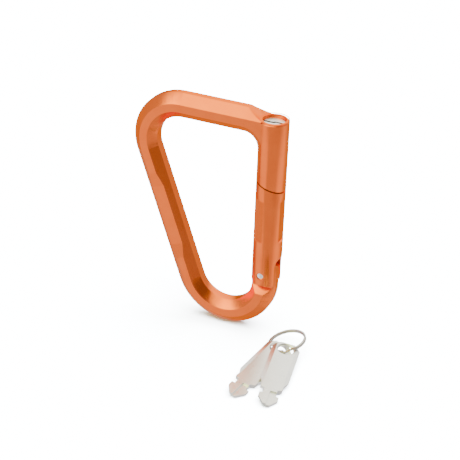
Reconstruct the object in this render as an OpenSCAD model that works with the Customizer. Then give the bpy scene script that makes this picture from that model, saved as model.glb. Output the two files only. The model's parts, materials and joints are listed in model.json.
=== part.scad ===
// Key-locking carabiner with its two keys on a split ring.
// The carabiner stands on its lower bend in the XZ plane, front towards -Y.
// The origin is the centre of the lock barrel's rim, +Z points out of the lock,
// and the gate and the lock barrel share the Z axis.

/* [Bar] */
// Width of the bar in the plane of the carabiner
bar_w = 10.2; // [9.8:0.1:10.6]
// Thickness of the bar, front face to back face
bar_t = 10.2; // [9.8:0.1:10.6]
// Inside radius of the upper corner
corner_r = 10.9; // [10:0.1:12]
// Inside radius of the lower bend
bend_r = 11.9; // [11.5:0.1:12.3]
// Height of the whole carabiner
total_h = 98.1; // [97:0.1:100]
// Distance from the gate axis to the centre of the upper corner
corner_x = 38.3; // [36:0.1:42]
// Distance from the gate axis to the centre of the lower bend
bend_x = 17.2; // [17:0.1:17.4]

/* [Lock barrel] */
// Diameter of the lock barrel and of the gate
barrel_d = 12; // [12:0.1:12.4]
// Depth of the barrel's rim below the top of the bar
rim_drop = 3.5; // [3:0.1:4]
// Diameter of the lock plug's face
plug_d = 9.28; // [9.2:0.02:9.32]
// Depth of the plug's face below the rim
plug_recess = 1.3; // [1:0.1:1.5]
// Quarter-turn travel of the locking bolt
bolt_travel = 4; // [3.6:0.1:4]

/* [Gate] */
// Distance from the barrel's rim down to the seam, on the axis
seam_depth = 27.35; // [27.2:0.05:27.5]
// Slope of the seam
seam_tilt = 18.3; // [17:0.1:19]
// Distance from the rim down to the hinge pin
pin_depth = 67.4; // [67:0.1:67.6]
// Diameter of the hinge pin
pin_d = 3.2; // [3:0.1:3.3]

/* [Keys] */
// Width of a key's bow
bow_w = 11.3; // [11:0.1:11.5]
// Length of a key's bow
bow_l = 26.8; // [26:0.1:27]
// Length of a whole key
key_l = 39.2; // [39:0.1:41]
// Thickness of a key
key_t = 1.5; // [1.3:0.1:1.5]
// Outside diameter of the split ring
ring_d = 16; // [15.8:0.1:16.2]

/* [Hidden] */
$fn = 64;
anodised = [0.86, 0.40, 0.22];
steel = [0.78, 0.78, 0.80];
brass = [0.80, 0.65, 0.35];
nickel = [0.84, 0.83, 0.80];
eps = 0.01;
fit = 0.06;             // radial running clearance of shafts and discs

// Octagonal bar section, measured from its inner wall outwards
inner_flat = 4;         // width of the inner wall, across the thickness
outer_flat = 3;         // width of the outer wall, across the thickness
inner_bevel = 3.2;      // in-plane width of the inner bevels
outer_bevel = 3.7;      // in-plane width of the outer bevels
half_t = bar_t / 2;

// Path of the bar: upper corner, straight spine, lower bend
rim_z = 0;
floor_z = rim_drop - total_h;
corner_z = rim_drop - bar_w - corner_r;
bend_z = floor_z + bar_w + bend_r;
centre_gap = norm([corner_x - bend_x, corner_z - bend_z]);
spine_tilt = atan2(corner_x - bend_x, corner_z - bend_z) - asin((bend_r - corner_r) / centre_gap);
spine_l = sqrt(centre_gap ^ 2 - (bend_r - corner_r) ^ 2);
spine_angle = 180 + spine_tilt;
core_r = 4;
core_l = 2;

// Barrel, seam and lock levels
barrel_r = barrel_d / 2;
fillet_r = 6.2;         // radius where the bar's underside runs into the barrel
fillet_x = -barrel_r - fillet_r + 0.3;
fillet_z = corner_z + corner_r - fillet_r;
sink_r = 5.75;          // radius where the conical flare round the rim starts
sink_slope = 0.72;
sink_top_r = 20;
rim_bevel = 0.65;
seam_z = rim_z - seam_depth;
seam_gap = 0.55;
plug_r = plug_d / 2;
mouth_r = plug_r + fit;
face_z = rim_z - plug_recess;
face_t = 1.9;
bore_r = 5.3;
tube_r = bore_r - fit;
tube_top = face_z - face_t;
tube_base = rim_z - 10.9;
shoulder_t = 0.65;       // end wall of the plug's tube, over the discs
disc_r = 4.6;
disc_t = 1;
disc_pitch = 1.45;
disc_top = tube_top - shoulder_t;
disc_n = 4;
spacer_t = 0.35;
clip_t = 0.5;
clip_z = disc_top - disc_n * disc_pitch - 0.05;
key_slot_l = 8.4;
key_slot_w = 1.15;
key_slot_jog = 0.32;    // half the offset between the keyway's two arms
side_r = 0.45;          // half width of the sidebar
side_travel = 0.4;
side_base = clip_z + 0.1;

// Bolt drive
cam_top = tube_base - 0.05;
cam_r = bore_r - fit;
cam_bore_r = 3.2;
cam_plate = 1.6;
cam_h = 9.2;
bolt_head_r = cam_bore_r - 0.08;
bolt_head_top = cam_top - cam_plate - 0.3;
bolt_head_h = 4;
guide_r = 0.6;
guide_l = 10.7;
guide_z = bolt_head_top - bolt_head_h / 2;
guide_slot_r = 0.78;
helix_steps = 20;
bolt_r = 2.5;
bolt_tip = seam_z + 1.1;
bush_r = bore_r - 0.02;
bush_h = 3.2;
bush_base = seam_z + 1.85;
lug_w = 1.5;
ball_r = 0.7;
ball_z = cam_top - 0.85;
ball_x = ball_r + 0.03 - bore_r;

// Gate and hinge
gate_r = barrel_r;
pin_x = -0.5;
pin_z = rim_z - pin_depth;
pin_r = pin_d / 2;
tongue_t = 5;
slot_t = 5.24;
tongue_r = 4.9;
tongue_top = 4.47;      // height of the tongue's flat top over the pin
tongue_x = 0.4;         // centre of the arc on the tongue's outer side
tongue_edge = bend_r + bar_w - bend_x;
ear_drop = 4;         // distance from the pin to the ears' lower edge
ear_x = 4.7;            // outer edge of the ears
slot_top = pin_z + 6.4;
cut_r = 8;              // radius of the cutter that opened the slot's outer side
cut_z = pin_z + 4.2;
keeper_r = 3.4;
keeper_bore_r = 2.62;
keeper_base = rim_z - 33;
spring_bore_r = 2.06;
plunger_r = 2;
plunger_gap = 0.05;
plunger_base = pin_z + tongue_top + plunger_gap;
plunger_l = 9;
grip_top = rim_z - 33.7;
grip_l = 18;
grip_depth = 0.65;

// Thumb pad, a long shallow flat milled into each face of the spine
pad_l = 38;
pad_mid = 0.5;          // place of its centre along the spine
pad_depth = 0.95;
pad_ramp = 6;

// Ring and keys, lying on the ground in front of the carabiner. A key's place is
// the centre of its hole on the upper face, then its yaw, pitch and roll.
ring_wire_t = 0.62;     // height of one of the ring's two coils
ring_wire_w = 1;
ring_at = [14.75, -10.86, floor_z + 3.81];
ring_lean = [5.4, -15.65, 0];
bow_end = 3.8;          // from the hole's centre to the end of the bow
hole_d = 6;
hole_stretch = 0.4;
hole_bevel = 0.4;
front_at = [16.97, -17.44, floor_z + 4.57];
front_turn = [9.91, 4, 7.78];
back_at = [13.39, -16.81, floor_z + 3.47];
back_turn = [-7.09, 2.17, 9.26];

// ---- shared shapes ----

module bar_section() {
    polygon([
        [0, -inner_flat / 2], [inner_bevel, -half_t],
        [bar_w - outer_bevel, -half_t], [bar_w, -outer_flat / 2],
        [bar_w, outer_flat / 2], [bar_w - outer_bevel, half_t],
        [inner_bevel, half_t], [0, inner_flat / 2]
    ]);
}

// Lays plane coordinates (x, y) onto the carabiner's plane (X, Z)
module in_plane(x, z, angle = 0) {
    translate([x, 0, z]) rotate([90, 0, 0]) rotate([0, 0, angle]) children();
}

module bar_bend(x, z, r, from, to) {
    in_plane(x, z, from) rotate_extrude(angle = to - from, $fn = 96)
        translate([r, 0]) bar_section();
}

module bar_run(x, z, r, angle, length) {
    in_plane(x, z, angle) translate([r, 0, 0]) rotate([-90, 0, 0])
        linear_extrude(length) bar_section();
}

module below_seam(drop, size = 40) {
    translate([0, 0, seam_z - drop]) rotate([0, seam_tilt, 0])
        translate([-size / 2, -size / 2, -size]) cube(size);
}

module above_seam(drop, size = 80) {
    translate([0, 0, seam_z - drop]) rotate([0, seam_tilt, 0])
        translate([-size / 2, -size / 2, 0]) cube(size);
}

module key_slot(height) {
    // Z-shaped keyway: two offset arms and a short crossing in the middle
    arm = key_slot_l / 2;
    translate([-arm, -key_slot_jog - key_slot_w / 2, 0]) cube([arm + 0.4, key_slot_w, height]);
    translate([-0.4, key_slot_jog - key_slot_w / 2, 0]) cube([arm + 0.4, key_slot_w, height]);
}

// ---- carabiner body ----

module thumb_pad_cuts() {
    along = spine_l * pad_mid - pad_l / 2;
    in_plane(-corner_x, corner_z, spine_angle) translate([corner_r, along, 0])
        for (side = [0, 1]) mirror([0, 0, side]) rotate([0, 90, 0])
            translate([0, 0, -1]) linear_extrude(bar_w + 2)
                polygon([
                    [-half_t - 1, -pad_ramp / pad_depth], [pad_depth - half_t, pad_ramp],
                    [pad_depth - half_t, pad_l - pad_ramp],
                    [-half_t - 1, pad_l + pad_ramp / pad_depth]
                ]);
}

module guide_groove() {
    width = 2 * guide_r + 0.16;
    translate([guide_l / 2 - 1, -width / 2, guide_z - bolt_travel - guide_r - 0.2])
        cube([1.1, width, bolt_travel + 2 * guide_r + 0.4]);
}

module lock_bores() {
    translate([0, 0, tube_top - 1]) cylinder(r = mouth_r, h = 30);
    translate([0, 0, seam_z - 5]) cylinder(r = bore_r, h = tube_top + 0.03 - seam_z + 5);
    // grooves for the sidebar at both key positions
    for (a = [0, 90]) rotate([0, 0, a])
        translate([-side_r - fit, 0, side_base - 0.1])
            cube([2 * (side_r + fit), tube_r + side_travel + 0.1, disc_top - side_base + 0.1]);
    // grooves that keep the bolt's guide pin from turning
    for (side = [0, 180]) rotate([0, 0, side]) guide_groove();
    // shallow notches for the detent ball, a quarter turn apart
    for (a = [0, 90]) rotate([0, 0, a]) translate([-bore_r - 0.2, 0, ball_z])
        rotate([0, 90, 0]) cylinder(r = 0.5, h = 0.6);
}

module rim_cut() {
    translate([0, 0, rim_z]) rotate_extrude()
        polygon([
            [0, 0], [sink_r, 0], [sink_top_r, sink_slope * (sink_top_r - sink_r)],
            [sink_top_r, 30], [0, 30]
        ]);
    translate([0, 0, rim_z]) rotate([0, 0, -125]) rotate_extrude(angle = 250)
        polygon([
            [barrel_r - rim_bevel, eps], [barrel_r + eps, -rim_bevel - eps],
            [barrel_r + 3, -rim_bevel], [barrel_r + 3, eps]
        ]);
}

module spine() {
    in_plane(-corner_x, corner_z, spine_angle) translate([corner_r, 0, 0]) {
        rotate([-90, 0, 0]) linear_extrude(spine_l) bar_section();
        // cores that carry the bar through its joins with the bends
        for (along = [0, spine_l]) translate([bar_w / 2, along - core_l / 2, 0])
            rotate([-90, 0, 0]) cylinder(r = core_r, h = core_l);
    }
}

module shoulder_cut() {
    // material beside the tongue is cut away above a 45 degree shoulder
    shoulder = bend_z - 3.65;
    reach = half_t - tongue_t / 2;
    for (side = [0, 1]) mirror([0, side, 0])
        translate([-12, 0, 0]) rotate([90, 0, 90]) linear_extrude(24)
            polygon([
                [half_t + 3, shoulder - 3], [half_t, shoulder],
                [tongue_t / 2, shoulder + reach], [tongue_t / 2, bend_z + 20],
                [half_t + 3, bend_z + 20]
            ]);
}

module tongue_tip_cut() {
    // rounds the tongue about the pin and leaves a flat top for the plunger
    difference() {
        translate([-20, -10, pin_z]) cube([40, 20, 20]);
        in_plane(pin_x, pin_z) translate([0, 0, -12]) cylinder(r = tongue_r, h = 24);
        in_plane(tongue_x, pin_z) translate([0, 0, -12]) cylinder(r = tongue_edge - tongue_x, h = 24);
    }
    translate([-20, -10, pin_z + tongue_top]) cube([40, 20, 20]);
}

module bend_and_tongue() {
    difference() {
        union() {
            bar_bend(-bend_x, bend_z, bend_r, spine_angle, 360);
            bar_run(-bend_x, bend_z, bend_r, 0, 10);
        }
        shoulder_cut();
        tongue_tip_cut();
    }
}

module frame() {
    color(anodised) difference() {
        union() {
            bar_run(0, corner_z, corner_r, 90, corner_x);
            bar_bend(-corner_x, corner_z, corner_r, 90, spine_angle);
            spine();
            bend_and_tongue();
            bar_bend(fillet_x, fillet_z, fillet_r, 0, 90);
            difference() {
                translate([0, 0, seam_z - 5]) cylinder(r = barrel_r, h = rim_z - seam_z + 9);
                below_seam(0);
            }
        }
        thumb_pad_cuts();
        rim_cut();
        lock_bores();
        in_plane(pin_x, pin_z) translate([0, 0, -20]) cylinder(r = pin_r + fit, h = 40);
    }
}

// ---- lock ----

module lock_plug() {
    color(steel) difference() {
        union() {
            translate([0, 0, tube_top - 1]) cylinder(r = plug_r, h = face_t + 0.7);
            translate([0, 0, face_z - 0.3 - eps])
                cylinder(r1 = plug_r, r2 = plug_r - 0.3, h = 0.3 + eps);
            translate([0, 0, tube_base]) cylinder(r = tube_r, h = tube_top - tube_base - fit);
        }
        translate([0, 0, tube_base - 1]) cylinder(r = disc_r + fit, h = disc_top - tube_base + 1.05);
        translate([0, 0, tube_top - 1]) key_slot(face_t + 2);
        translate([-side_r - fit, 0, side_base - 0.1])
            cube([2 * (side_r + fit), 8, disc_top - side_base]);
        for (side = [0, 180]) rotate([0, 0, side])
            translate([disc_r - 0.5, -lug_w / 2 - fit, tube_base - 1])
                cube([3, lug_w + 2 * fit, 1.5]);
        translate([0, 0, clip_z - clip_t - fit]) cylinder(r = disc_r + 0.35, h = clip_t + 2 * fit);
    }
}

module disc(i) {
    notch = [20, 50, 35, 65][i];
    color(brass) translate([0, 0, disc_top - i * disc_pitch - disc_t]) difference() {
        cylinder(r = disc_r, h = disc_t);
        translate([-key_slot_l / 2, -0.9, -1]) cube([key_slot_l, 1.8, disc_t + 2]);
        rotate([0, 0, 90 - notch]) translate([disc_r - 0.45, -side_r - 0.1, -1])
            cube([2, 2 * side_r + 0.2, disc_t + 2]);
    }
}

module disc_spacers() {
    color(steel) for (i = [0 : disc_n - 2])
        translate([0, 0, disc_top - i * disc_pitch - disc_t - spacer_t - 0.05]) difference() {
            cylinder(r = disc_r, h = spacer_t);
            translate([-key_slot_l / 2, -1.2, -1]) cube([key_slot_l, 2.4, spacer_t + 2]);
        }
}

module retaining_clip() {
    color(steel) translate([0, 0, clip_z - clip_t]) difference() {
        cylinder(r = disc_r + 0.33, h = clip_t);
        translate([0, 0, -1]) cylinder(r = disc_r - 0.6, h = clip_t + 2);
        translate([-1.2, -6, -1]) cube([2.4, 6, clip_t + 2]);
    }
}

module sidebar() {
    color(steel) translate([-side_r, disc_r + 0.09, side_base])
        cube([2 * side_r, tube_r - disc_r - 0.14, disc_top - side_base - 0.4]);
}

module lock_cam() {
    color(steel) difference() {
        union() {
            translate([0, 0, cam_top - cam_h]) cylinder(r = cam_r, h = cam_h);
            for (side = [0, 180]) rotate([0, 0, side])
                translate([disc_r + 0.1, -lug_w / 2, cam_top - eps])
                    cube([cam_r - disc_r - 0.2, lug_w, 0.45]);
        }
        translate([0, 0, cam_top - cam_h - 1]) cylinder(r = cam_bore_r, h = cam_h - cam_plate + 1);
        // helical slot that drives the guide pin down over a quarter turn
        for (i = [0 : helix_steps]) {
            turn = i / helix_steps;
            translate([0, 0, guide_z - bolt_travel * turn]) rotate([0, 0, -90 * turn])
                rotate([0, 90, 0]) cylinder(r = guide_slot_r, h = 12, center = true, $fn = 24);
        }
        translate([-cam_r - 1, 0, ball_z]) rotate([0, 90, 0]) cylinder(r = ball_r + 0.05, h = 3.6);
    }
}

module detent_spring() {
    // short coil between the ball and the end of its pocket
    color(steel) translate([ball_x + ball_r + 0.06, 0, ball_z]) rotate([0, 90, 0])
        for (i = [0 : 3]) translate([0, 0, i * 0.3]) rotate_extrude($fn = 24)
            translate([0.42, 0.13]) circle(r = 0.12, $fn = 16);
}

module detent_ball() {
    color(steel) translate([ball_x, 0, ball_z]) sphere(r = ball_r, $fn = 32);
}

module lock_bolt() {
    neck_l = bolt_head_top - bolt_head_h - bolt_tip;
    color(steel) difference() {
        union() {
            translate([0, 0, bolt_head_top - bolt_head_h]) cylinder(r = bolt_head_r, h = bolt_head_h);
            translate([0, 0, bolt_tip + 0.4]) cylinder(r = bolt_r, h = neck_l - 0.4 + eps);
            translate([0, 0, bolt_tip]) cylinder(r1 = bolt_r - 0.4, r2 = bolt_r, h = 0.4);
        }
        translate([0, 0, guide_z]) rotate([0, 90, 0]) cylinder(r = guide_r, h = 20, center = true);
    }
}

module bolt_guide_pin() {
    color(steel) translate([0, 0, guide_z]) rotate([0, 90, 0])
        cylinder(r = guide_r, h = guide_l, center = true);
}

module bolt_bush() {
    color(brass) translate([0, 0, bush_base]) difference() {
        cylinder(r = bush_r, h = bush_h);
        translate([0, 0, -1]) cylinder(r = bolt_r + fit, h = bush_h + 2);
    }
}

// ---- gate ----

module gate_grips() {
    // three milled thumb flats, 120 degrees apart, with ramped ends
    for (a = [0, 120, 240]) rotate([0, 0, a])
        translate([gate_r - grip_depth, 0, grip_top - grip_l]) rotate([90, 0, 0])
            translate([0, 0, -8]) linear_extrude(16)
                polygon([[0, 0], [2, -1], [2, grip_l + 1], [0, grip_l]]);
}

module gate() {
    color(anodised) difference() {
        intersection() {
            translate([0, 0, pin_z - ear_drop]) cylinder(r = gate_r, h = 50);
            // the ears' inner lower corner is rounded to clear the shoulder
            union() {
                translate([-10, -10, pin_z]) cube([20, 20, 60]);
                translate([pin_x, -10, pin_z - ear_drop]) cube([10, 20, ear_drop + eps]);
                in_plane(pin_x, pin_z) translate([0, 0, -10]) cylinder(r = gate_r + pin_x, h = 20);
            }
        }
        above_seam(seam_gap);
        gate_grips();
        // slot for the frame's tongue
        translate([-10, -slot_t / 2, pin_z - ear_drop - 5])
            cube([20, slot_t, slot_top - pin_z + ear_drop + 5]);
        // outer edge of the ears and the cutter's run-out above them
        translate([ear_x, -10, pin_z - ear_drop - 5]) cube([10, 20, cut_z - pin_z + ear_drop + 5]);
        in_plane(ear_x + cut_r, cut_z) translate([0, 0, -10]) cylinder(r = cut_r, h = 20, $fn = 128);
        // bores
        translate([0, 0, keeper_base]) cylinder(r = keeper_r, h = 40);
        translate([0, 0, pin_z]) cylinder(r = spring_bore_r, h = 60);
        in_plane(pin_x, pin_z) translate([0, 0, -20]) cylinder(r = pin_r, h = 40);
    }
}

module bolt_keeper() {
    color(steel) difference() {
        translate([0, 0, keeper_base]) cylinder(r = keeper_r, h = 20);
        above_seam(seam_gap + 0.15);
        translate([0, 0, keeper_base + 0.7]) cylinder(r = keeper_bore_r, h = 40);
    }
}

module gate_spring() {
    top = keeper_base - 0.05;
    base = plunger_base + plunger_l + 0.05;
    wire = 0.2;
    coil_r = spring_bore_r - 0.15 - wire;
    turns = 12;
    steps = 16;
    sides = 8;
    height = top - base - 2 * wire;
    function ring(i) = let (a = 360 * i / steps, z = base + wire + height * i / (turns * steps))
        [for (k = [0 : sides - 1]) let (b = 360 * k / sides, r = coil_r + wire * cos(b))
            [r * cos(a), r * sin(a), z + wire * sin(b)]];
    n = turns * steps;
    points = [for (i = [0 : n]) each ring(i)];
    skin = [for (i = [0 : n - 1]) for (k = [0 : sides - 1]) let (m = (k + 1) % sides)
        each [[i * sides + k, (i + 1) * sides + k, (i + 1) * sides + m],
              [i * sides + k, (i + 1) * sides + m, i * sides + m]]];
    ends = [[for (k = [0 : sides - 1]) k], [for (k = [0 : sides - 1]) n * sides + sides - 1 - k]];
    color(steel) polyhedron(points = points, faces = concat(skin, ends));
}

module gate_plunger() {
    color(steel) union() {
        translate([0, 0, plunger_base]) cylinder(r = plunger_r, h = plunger_l - 0.4);
        translate([0, 0, plunger_base + plunger_l - 0.4 - eps])
            cylinder(r1 = plunger_r, r2 = plunger_r - 0.4, h = 0.4 + eps);
    }
}

module hinge_pin() {
    // plain rivet with slightly domed ends
    half = 5.3;
    dome = 0.4;
    dome_r = (pin_r ^ 2 + dome ^ 2) / (2 * dome);
    color(steel) in_plane(pin_x, pin_z) union() {
        translate([0, 0, -half]) cylinder(r = pin_r, h = 2 * half);
        for (side = [0, 1]) mirror([0, 0, side]) intersection() {
            translate([0, 0, half + dome - dome_r]) sphere(r = dome_r, $fn = 96);
            translate([0, 0, half - eps]) cylinder(r = pin_r, h = 1);
        }
    }
}

// ---- keyring ----

module split_ring() {
    // two turns of flat wire
    color(nickel) translate(ring_at) rotate(ring_lean) rotate_extrude($fn = 96)
        for (i = [-1, 0]) translate([ring_d / 2 - ring_wire_w, i * ring_wire_t])
            square([ring_wire_w, ring_wire_t]);
}

module key_outline() {
    // origin at the ring hole, tip towards -Y
    half_bow = bow_w / 2;
    clip = 2.75;
    shoulder = bow_l - bow_end;
    tip = key_l - bow_end;
    neck = 2.6;
    collar = 4.4;
    bit = 3.9;
    bit_l = 6;
    polygon([
        [-half_bow, bow_end - clip], [-half_bow + clip, bow_end],
        [half_bow - clip, bow_end], [half_bow, bow_end - clip],
        [half_bow, 3 - shoulder], [collar, -shoulder], [collar, -shoulder - 2.6],
        [neck, -shoulder - 3.3], [neck, bit_l - tip], [bit, bit_l - tip],
        [bit, 3.6 - tip], [bit - 2.6, -tip], [2.6 - bit, -tip], [-bit, 3.6 - tip],
        [-bit, bit_l - tip], [-neck, bit_l - tip], [-neck, -shoulder - 3.3],
        [-collar, -shoulder - 2.6], [-collar, -shoulder], [-half_bow, 3 - shoulder]
    ]);
}

module key_blank() {
    tip = key_l - bow_end;
    half_cut = 0.6;         // depth of the cut that steps each half of the blade
    edge_w = 1.7;           // bevel along each long edge of the bow
    edge_h = 0.55;
    difference() {
        translate([0, 0, -key_t]) linear_extrude(key_t) key_outline();
        for (side = [-1, 1]) translate([side * hole_stretch / 2, 0, 0]) {
            translate([0, 0, -5]) cylinder(d = hole_d, h = 10);
            translate([0, 0, -hole_bevel])
                cylinder(d1 = hole_d, d2 = hole_d + 4 * hole_bevel, h = 2 * hole_bevel);
            translate([0, 0, -key_t - hole_bevel])
                cylinder(d1 = hole_d + 4 * hole_bevel, d2 = hole_d, h = 2 * hole_bevel);
        }
        // stepped halves of the blade, one on each face
        translate([0, -tip - 1, -half_cut]) cube([8, 9, 5]);
        translate([-8, -tip - 1, half_cut - key_t - 5]) cube([8, 9, 5]);
        // bevels along the bow's long edges, on both faces
        translate([0, 5, -key_t / 2]) rotate([90, 0, 0]) linear_extrude(bow_l + 2)
            for (side = [0, 1]) mirror([side, 0]) for (face = [0, 1]) mirror([0, face])
                polygon([
                    [bow_w / 2 - edge_w, key_t / 2], [bow_w / 2 + edge_w, key_t / 2 - 2 * edge_h],
                    [bow_w / 2 + edge_w, key_t / 2 + 1], [bow_w / 2 - edge_w, key_t / 2 + 1]
                ]);
    }
}

// Lays a key down: turn holds its yaw, its pitch towards the tip and its roll
module lay_key(at, turn) {
    translate(at) rotate([turn[1], 0, turn[0]]) rotate([0, turn[2], 0]) key_blank();
}

module key_front() {
    color(nickel) lay_key(front_at, front_turn);
}

module key_back() {
    color(nickel) lay_key(back_at, back_turn);
}

frame();
lock_plug();
disc(0);  // disc_1
disc(1);  // disc_2
disc(2);  // disc_3
disc(3);  // disc_4
disc_spacers();
retaining_clip();
sidebar();
lock_cam();
detent_spring();
detent_ball();
lock_bolt();
bolt_guide_pin();
bolt_bush();
gate();
bolt_keeper();
gate_spring();
gate_plunger();
hinge_pin();
split_ring();
key_front();
key_back();
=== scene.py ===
"""Key-locking carabiner and its keys: looks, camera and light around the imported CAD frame."""

import json
import math

import bmesh
import bpy
from mathutils import Matrix, Vector


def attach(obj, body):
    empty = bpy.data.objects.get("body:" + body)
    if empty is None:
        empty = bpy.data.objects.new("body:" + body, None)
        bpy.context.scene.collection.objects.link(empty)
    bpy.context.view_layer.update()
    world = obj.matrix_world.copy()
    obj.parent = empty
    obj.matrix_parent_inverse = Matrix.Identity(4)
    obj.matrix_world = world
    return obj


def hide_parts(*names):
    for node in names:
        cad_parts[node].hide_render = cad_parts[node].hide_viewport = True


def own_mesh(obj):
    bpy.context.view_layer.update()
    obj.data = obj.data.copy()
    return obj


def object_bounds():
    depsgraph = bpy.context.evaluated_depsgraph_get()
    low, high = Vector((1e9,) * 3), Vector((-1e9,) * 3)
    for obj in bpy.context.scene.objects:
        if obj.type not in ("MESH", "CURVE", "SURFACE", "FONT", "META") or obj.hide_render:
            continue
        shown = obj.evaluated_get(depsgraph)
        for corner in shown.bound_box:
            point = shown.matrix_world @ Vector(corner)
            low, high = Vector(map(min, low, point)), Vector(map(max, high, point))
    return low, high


MM = 0.001

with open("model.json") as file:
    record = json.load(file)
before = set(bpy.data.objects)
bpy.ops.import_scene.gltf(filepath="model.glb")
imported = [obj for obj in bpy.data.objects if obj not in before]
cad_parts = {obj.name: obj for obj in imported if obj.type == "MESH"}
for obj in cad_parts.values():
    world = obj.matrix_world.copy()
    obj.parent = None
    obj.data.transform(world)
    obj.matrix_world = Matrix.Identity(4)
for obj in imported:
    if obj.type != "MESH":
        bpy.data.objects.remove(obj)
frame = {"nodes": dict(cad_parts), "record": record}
cad_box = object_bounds()
NODES = frame["nodes"]
FLOOR_Z = cad_box[0][2]


# ---------------------------------------------------------------- node helpers


def new_material(name):
    material = bpy.data.materials.new(name)
    material.use_nodes = True
    tree = material.node_tree
    tree.nodes.clear()
    output = tree.nodes.new("ShaderNodeOutputMaterial")
    shader = tree.nodes.new("ShaderNodeBsdfPrincipled")
    tree.links.new(shader.outputs["BSDF"], output.inputs["Surface"])
    return material, tree, shader


def add(tree, kind, **inputs):
    node = tree.nodes.new(kind)
    for key, value in inputs.items():
        node.inputs[key].default_value = value
    return node


def noise(tree, scale, detail=3.0, stretch=(1, 1, 1)):
    """Noise in object space, in repeats per metre."""
    place = tree.nodes.new("ShaderNodeTexCoord")
    mapping = tree.nodes.new("ShaderNodeMapping")
    mapping.inputs["Scale"].default_value = stretch
    texture = add(tree, "ShaderNodeTexNoise", Scale=scale, Detail=detail)
    tree.links.new(place.outputs["Object"], mapping.inputs["Vector"])
    tree.links.new(mapping.outputs["Vector"], texture.inputs["Vector"])
    return texture.outputs["Fac"]


def spread(tree, value, low, high):
    """Maps 0.3 to 0.7, where noise mostly lies, to low to high."""
    node = tree.nodes.new("ShaderNodeMapRange")
    node.inputs["From Min"].default_value = 0.3
    node.inputs["From Max"].default_value = 0.7
    node.inputs["To Min"].default_value = low
    node.inputs["To Max"].default_value = high
    tree.links.new(value, node.inputs["Value"])
    return node.outputs["Result"]


def mix_colours(tree, value, dark, light):
    node = tree.nodes.new("ShaderNodeMix")
    node.data_type = "RGBA"
    node.inputs["A"].default_value = (*dark, 1)
    node.inputs["B"].default_value = (*light, 1)
    tree.links.new(value, node.inputs["Factor"])
    return node.outputs["Result"]


def bump(tree, shader, value, height, strength=1.0):
    node = add(tree, "ShaderNodeBump", Strength=strength, Distance=height)
    tree.links.new(value, node.inputs["Height"])
    tree.links.new(node.outputs["Normal"], shader.inputs["Normal"])


def metal(name, dark, light, rough, grain=9000, grain_height=0.004, patch=160, stretch=(1, 1, 1),
          edge=(1, 1, 1)):
    """Metal with cloudy colour, uneven roughness and a fine grain; grain_height in mm."""
    material, tree, shader = new_material(name)
    shader.inputs["Metallic"].default_value = 1.0
    shader.inputs["Specular Tint"].default_value = (*edge, 1)
    cloud = noise(tree, patch)
    tree.links.new(mix_colours(tree, spread(tree, cloud, 0, 1), dark, light), shader.inputs["Base Color"])
    smudge = noise(tree, patch * 5)
    tree.links.new(spread(tree, smudge, rough * 0.9, rough * 1.1), shader.inputs["Roughness"])
    bump(tree, shader, noise(tree, grain, 2.0, stretch), grain_height * MM)
    return material


ORANGE = metal("orange_anodised", (0.89, 0.162, 0.028), (0.95, 0.182, 0.033), 0.22, edge=(1, 0.55, 0.36))
LOCK_STEEL = metal("lock_steel", (0.50, 0.50, 0.51), (0.60, 0.60, 0.62), 0.35)
PLUG_STEEL = metal("plug_steel", (0.86, 0.86, 0.86), (0.92, 0.92, 0.92), 0.42)
PIN_STEEL = metal("pin_steel", (0.93, 0.92, 0.92), (0.98, 0.97, 0.97), 0.18, grain_height=0.001)
BRASS = metal("brass", (0.70, 0.48, 0.20), (0.78, 0.56, 0.26), 0.30)
NICKEL = metal("ring_nickel", (0.50, 0.46, 0.42), (0.62, 0.57, 0.52), 0.10, grain_height=0.001)
KEY_NICKEL = metal("key_nickel", (0.86, 0.86, 0.84), (0.91, 0.91, 0.89), 0.30)

FINISHES = {
    "orange_anodised": ORANGE,
    "plug_steel": PLUG_STEEL,
    "pin_steel": PIN_STEEL,
    "lock_steel": LOCK_STEEL,
    "spring_steel": LOCK_STEEL,
    "brass": BRASS,
    "ring_nickel": NICKEL,
    "key_nickel": KEY_NICKEL,
}

for part in frame["record"]["subparts"]:
    mesh = NODES[part["node"]].data
    mesh.materials.clear()
    mesh.materials.append(FINISHES[part["material_slot"]])


# ---------------------------------------------------------------- edge rounding


def soften(node, width, angle=24, segments=3):
    """Rounds a CAD piece's crisp edges with modifiers; width in mm."""
    piece = NODES[node]
    weld = piece.modifiers.new("weld", "WELD")
    weld.merge_threshold = 0.002 * MM
    flat = piece.modifiers.new("flat", "DECIMATE")
    flat.decimate_type = "DISSOLVE"
    flat.angle_limit = math.radians(0.6)
    round_edges = piece.modifiers.new("round", "BEVEL")
    round_edges.width = width * MM
    round_edges.segments = segments
    round_edges.limit_method = "ANGLE"
    round_edges.angle_limit = math.radians(angle)
    round_edges.harden_normals = True


EDGE_WIDTHS = {
    "frame": 0.3,
    "gate": 0.22,
    "lock_plug": 0.1,
    "hinge_pin": 0.08,
    "key_front": 0.1,
    "key_back": 0.1,
}

for node_name, edge_width in EDGE_WIDTHS.items():
    soften(node_name, edge_width)


# ---------------------------------------------------------------- wire


def wire_piece(name, loops, finish):
    """A closed piece skinned over loops of points, which run round the wire and along it."""
    mesh = bmesh.new()
    rows = [[mesh.verts.new(point) for point in loop] for loop in loops]
    count = len(rows[0])
    for row, following in zip(rows, rows[1:]):
        for k in range(count):
            m = (k + 1) % count
            mesh.faces.new((row[k], row[m], following[m], following[k]))
    mesh.faces.new(rows[0])
    mesh.faces.new(reversed(rows[-1]))
    bmesh.ops.recalc_face_normals(mesh, faces=mesh.faces)
    for face in mesh.faces:
        face.smooth = len(face.verts) == 4
    data = bpy.data.meshes.new(name)
    mesh.to_mesh(data)
    mesh.free()
    data.materials.append(finish)
    piece = bpy.data.objects.new(name, data)
    bpy.context.scene.collection.objects.link(piece)
    return piece


# ---------------------------------------------------------------- split ring

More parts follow.
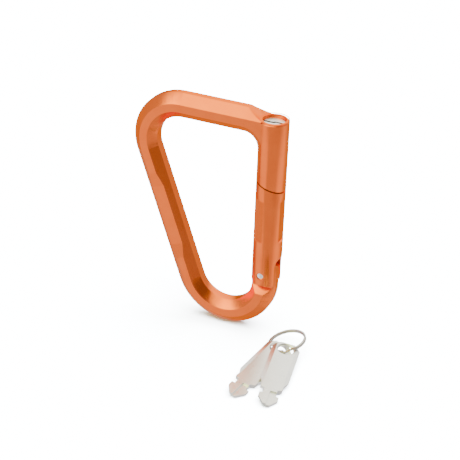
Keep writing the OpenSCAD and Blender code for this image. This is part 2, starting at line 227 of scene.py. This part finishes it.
RING_AT = Vector((14.75, -10.86, FLOOR_Z / MM + 3.81)) * MM
RING_LEAN = (5.4, -15.65)
RING_OUTSIDE = 8.0 * MM
WIRE_W = 1.0 * MM
WIRE_T = 0.6 * MM
WIRE_STEP = 0.64 * MM
WIRE_ROUND = 0.17 * MM
JOG_AT = -62.0
JOG_HALF = 13.0         # half the turn over which the wire changes layer, in degrees
END_GAP = 3.5           # from the jog to each end of the wire, in degrees
RING_STEPS = 260
END_SLIM = (0.8, 0.94)  # the wire's size at its last two loops, so that its ends are rounded


def wire_outline():
    """Rounded rectangle across the wire, width first and height second."""
    outline = []
    for side_x, side_z, start in ((1, 1, 0), (-1, 1, 90), (-1, -1, 180), (1, -1, 270)):
        for step in range(4):
            a = math.radians(start + step * 30)
            outline.append((
                side_x * (WIRE_W / 2 - WIRE_ROUND) + WIRE_ROUND * math.cos(a),
                side_z * (WIRE_T / 2 - WIRE_ROUND) + WIRE_ROUND * math.sin(a),
            ))
    return outline


def make_split_ring():
    """Two turns of flat wire that change layer at the jog, with both ends lying beside it."""
    outline = wire_outline()
    first, last = JOG_HALF + END_GAP, 720 - JOG_HALF - END_GAP
    radius = RING_OUTSIDE - WIRE_W / 2
    loops = []
    for i in range(RING_STEPS + 1):
        turn = first + (last - first) * i / RING_STEPS
        t = min(1, max(0, (turn - 360 + JOG_HALF) / (2 * JOG_HALF)))
        layer = (t * t * (3 - 2 * t) - 0.5) * WIRE_STEP
        from_end = min(i, RING_STEPS - i)
        slim = END_SLIM[from_end] if from_end < len(END_SLIM) else 1
        a = math.radians(turn + JOG_AT)
        loops.append([
            ((radius + w * slim) * math.cos(a), (radius + w * slim) * math.sin(a), layer + h * slim)
            for w, h in outline
        ])
    piece = wire_piece("split_ring_wire", loops, NICKEL)
    lean_x = Matrix.Rotation(math.radians(RING_LEAN[0]), 4, "X")
    lean_y = Matrix.Rotation(math.radians(RING_LEAN[1]), 4, "Y")
    piece.data.transform(Matrix.Translation(RING_AT) @ lean_y @ lean_x)
    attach(piece, "ring")
    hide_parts("split_ring")


make_split_ring()


# ---------------------------------------------------------------- gate spring

SPRING_WIRE = 0.2 * MM
SPRING_TURNS = 12
SPRING_STEPS = 24
SPRING_SIDES = 10


def make_gate_spring():
    """The coil in the gate, built at rest over the CAD spring's height; it is not made to shorten as the
    plunger rises.
    """
    node = NODES["gate_spring"]
    points = [node.matrix_world @ v.co for v in node.data.vertices]
    low, high = min(v.z for v in points), max(v.z for v in points)
    coil_radius = max(v.x for v in points) - SPRING_WIRE
    count = SPRING_TURNS * SPRING_STEPS
    rise = (high - low - 2 * SPRING_WIRE) / count
    loops = []
    for i in range(count + 1):
        a = 2 * math.pi * i / SPRING_STEPS
        z = low + SPRING_WIRE + rise * i
        loop = []
        for k in range(SPRING_SIDES):
            b = 2 * math.pi * k / SPRING_SIDES
            radius = coil_radius + SPRING_WIRE * math.cos(b)
            loop.append((radius * math.cos(a), radius * math.sin(a), z + SPRING_WIRE * math.sin(b)))
        loops.append(loop)
    piece = wire_piece("gate_spring_coil", loops, LOCK_STEEL)
    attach(piece, "gate")
    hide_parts("gate_spring")
    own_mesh(piece)


make_gate_spring()


# ---------------------------------------------------------------- camera

AZIMUTH = math.radians(23.09)
ELEVATION = math.radians(28.72)
ROLL = math.radians(2.26)
DISTANCE = 601.7 * MM
TARGET = Vector((-16.8, 0, -52.85)) * MM
LENS = 116.23
SENSOR = 36.0


def make_camera():
    back = Vector((
        math.sin(AZIMUTH) * math.cos(ELEVATION),
        -math.cos(AZIMUTH) * math.cos(ELEVATION),
        math.sin(ELEVATION),
    ))
    level = Vector((math.cos(AZIMUTH), math.sin(AZIMUTH), 0))
    upright = back.cross(level)
    right = level * math.cos(ROLL) + upright * math.sin(ROLL)
    up = upright * math.cos(ROLL) - level * math.sin(ROLL)
    data = bpy.data.cameras.new("camera")
    data.sensor_width = SENSOR
    data.lens = LENS
    data.clip_start = 0.01
    camera = bpy.data.objects.new("camera", data)
    camera.matrix_world = Matrix.LocRotScale(
        TARGET + back * DISTANCE, Matrix((right, up, back)).transposed().to_quaternion(), None
    )
    bpy.context.scene.collection.objects.link(camera)
    bpy.context.scene.camera = camera


make_camera()


# ---------------------------------------------------------------- floor and light

FLOOR_REACH = 3.0


def make_floor():
    mesh = bpy.data.meshes.new("floor")
    corners = [(x * FLOOR_REACH, y * FLOOR_REACH, FLOOR_Z) for x, y in ((-1, -1), (1, -1), (1, 1), (-1, 1))]
    mesh.from_pydata(corners, [], [(0, 1, 2, 3)])
    floor = bpy.data.objects.new("floor", mesh)
    bpy.context.scene.collection.objects.link(floor)
    material, tree, shader = new_material("floor")
    shader.inputs["Base Color"].default_value = (0.82, 0.88, 0.94, 1)
    shader.inputs["Roughness"].default_value = 0.9
    mesh.materials.append(material)
    floor.visible_glossy = False
    floor.visible_shadow = False
    return floor


FLOOR = make_floor()


def direction(azimuth, elevation):
    """Unit vector: azimuth 0 is the front, -Y, and 90 is +X."""
    a, e = math.radians(azimuth), math.radians(elevation)
    return (math.sin(a) * math.cos(e), -math.cos(a) * math.cos(e), math.sin(e))


def soft_box(tree, at, inner, outer, level, colour):
    """A round soft light in the sky: full inside inner degrees, nothing beyond outer."""
    place = tree.nodes.new("ShaderNodeTexCoord")
    dot = tree.nodes.new("ShaderNodeVectorMath")
    dot.operation = "DOT_PRODUCT"
    dot.inputs[1].default_value = direction(*at)
    tree.links.new(place.outputs["Generated"], dot.inputs[0])
    ramp = tree.nodes.new("ShaderNodeMapRange")
    ramp.interpolation_type = "SMOOTHSTEP"
    ramp.inputs["From Min"].default_value = math.cos(math.radians(outer))
    ramp.inputs["From Max"].default_value = math.cos(math.radians(inner))
    ramp.inputs["To Min"].default_value = 0
    ramp.inputs["To Max"].default_value = level
    tree.links.new(dot.outputs["Value"], ramp.inputs["Value"])
    tint = tree.nodes.new("ShaderNodeVectorMath")
    tint.operation = "SCALE"
    tint.inputs[0].default_value = colour
    tree.links.new(ramp.outputs["Result"], tint.inputs["Scale"])
    return tint.outputs["Vector"]


SKY_BASE = (0.95, 0.9, 0.88)
FAINT = (1, 0.95, 0.92)
CLEAR = (1, 1, 0.9)
WARM = (1, 1.08, 0.25)
SOFT_BOXES = (
    # azimuth and elevation of its middle, full within, gone beyond (degrees), level, colour
    ((-50, -30), 18, 29, 0.7, FAINT),
    ((102, -38), 5, 34, 0.75, FAINT),
    ((-36, 32), 10, 30, 2.2, WARM),
    ((-40, 68), 20, 45, 1.7, WARM),
    ((170, 80), 12, 40, 0.8, WARM),
    ((187, 36), 22, 42, 1.5, CLEAR),
    ((220, 12), 8, 24, -0.35, FAINT),
    ((52, 28), 14, 46, -0.66, FAINT),
)


def make_sky():
    world = bpy.data.worlds.new("studio")
    bpy.context.scene.world = world
    world.use_nodes = True
    tree = world.node_tree
    tree.nodes.clear()
    output = tree.nodes.new("ShaderNodeOutputWorld")
    background = tree.nodes.new("ShaderNodeBackground")
    tree.links.new(background.outputs["Background"], output.inputs["Surface"])
    total = None
    for box in SOFT_BOXES:
        light = soft_box(tree, *box)
        plus = tree.nodes.new("ShaderNodeVectorMath")
        plus.operation = "ADD"
        plus.inputs[0].default_value = SKY_BASE
        if total:
            tree.links.new(total, plus.inputs[0])
        tree.links.new(light, plus.inputs[1])
        total = plus.outputs["Vector"]
    tree.links.new(total, background.inputs["Color"])


make_sky()


def make_floor_light(floor):
    """A broad overhead light on the floor alone, which makes it as pale as a studio sweep."""
    data = bpy.data.lights.new("overhead", "SUN")
    data.energy = 60
    data.angle = math.radians(84)
    light = bpy.data.objects.new("overhead", data)
    light.rotation_euler = (math.radians(-6), math.radians(5), 0)
    bpy.context.scene.collection.objects.link(light)
    group = bpy.data.collections.new("floor_only")
    group.objects.link(floor)
    light.light_linking.receiver_collection = group


make_floor_light(FLOOR)
